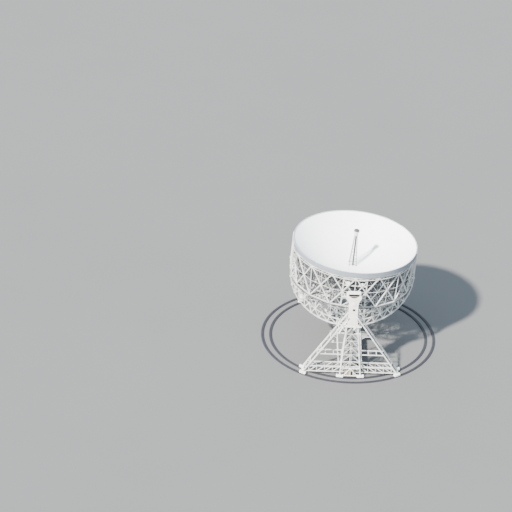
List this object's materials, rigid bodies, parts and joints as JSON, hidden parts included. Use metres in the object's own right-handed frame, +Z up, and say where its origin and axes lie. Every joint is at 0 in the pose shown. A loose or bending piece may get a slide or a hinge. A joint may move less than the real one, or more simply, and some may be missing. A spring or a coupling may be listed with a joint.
{
  "type": "radio telescope dish, 1:10 scale model",
  "caption": "Fully steerable radio telescope: a deep white dish with a focus mast tips between two lattice towers that turn on circular tracks.",
  "frame": {"origin": "on the ground at the azimuth pivot, under the middle of the dish", "axes": "+Z up; Y along the elevation axis, with the front tower at -Y; X level across the towers, +X the side that the dish leans towards"},
  "size_m": [10.93, 10.93, 7.785],
  "materials": {
    "steel_paint": "weathered white paint on lattice steel",
    "cladding": "cream painted sheet with seams",
    "dish_white": "bright white painted steel plates",
    "band_grey": "pale grey paint in shade",
    "back_grey": "dull grey painted plates",
    "bogie_paint": "satin white machine paint",
    "dark_steel": "dark rails, wheels and window openings",
    "concrete": "dark weathered concrete"
  },
  "bodies": {
    "track": {"outer_track": "concrete", "inner_track": "concrete", "pivot_plinth": "concrete"},
    "turntable": {"front_left_leg": "steel_paint", "front_right_leg": "steel_paint", "front_left_tie": "steel_paint", "front_right_tie": "steel_paint", "front_left_bogies": "bogie_paint", "front_right_bogies": "bogie_paint", "front_base_girder": "steel_paint", "front_shaft": "steel_paint", "front_housing": "cladding", "front_roof": "cladding", "front_centre_bogies": "bogie_paint", "rear_left_leg": "steel_paint", "rear_right_leg": "steel_paint", "rear_left_tie": "steel_paint", "rear_right_tie": "steel_paint", "rear_left_bogies": "bogie_paint", "rear_right_bogies": "bogie_paint", "rear_base_girder": "steel_paint", "rear_shaft": "steel_paint", "rear_housing": "cladding", "rear_roof": "cladding", "rear_centre_bogies": "bogie_paint", "diameter_left_side": "steel_paint", "diameter_right_side": "steel_paint", "diameter_floor": "steel_paint", "pivot_bearing": "bogie_paint", "front_roller_frame": "bogie_paint", "rear_roller_frame": "bogie_paint"},
    "dish": {"reflector": "dish_white", "back_membrane": "back_grey", "rim_band": "band_grey", "right_wall": "steel_paint", "rear_right_wall": "steel_paint", "rear_wall": "steel_paint", "rear_left_wall": "steel_paint", "left_wall": "steel_paint", "front_left_wall": "steel_paint", "front_wall": "steel_paint", "front_right_wall": "steel_paint", "hub": "steel_paint", "underframe": "steel_paint", "ring_truss": "steel_paint", "outer_ring_truss": "steel_paint", "wheel_bracing": "steel_paint", "front_wheel_girder": "steel_paint", "rear_wheel_girder": "steel_paint", "front_trunnion": "band_grey", "rear_trunnion": "band_grey", "focus_mast": "steel_paint", "focus_cabin": "band_grey"}
  },
  "joints": [
    {"name": "azimuth", "type": "hinge", "parent": "track", "child": "turntable", "pos_m": [0, 0, 0], "axis": [0, 0, 1], "continuous": true},
    {"name": "elevation", "type": "hinge", "parent": "turntable", "child": "dish", "pos_m": [0, 0, 5.05], "axis": [0, 1, 0], "range_deg": [-88.3, 81.7]}
  ]
}
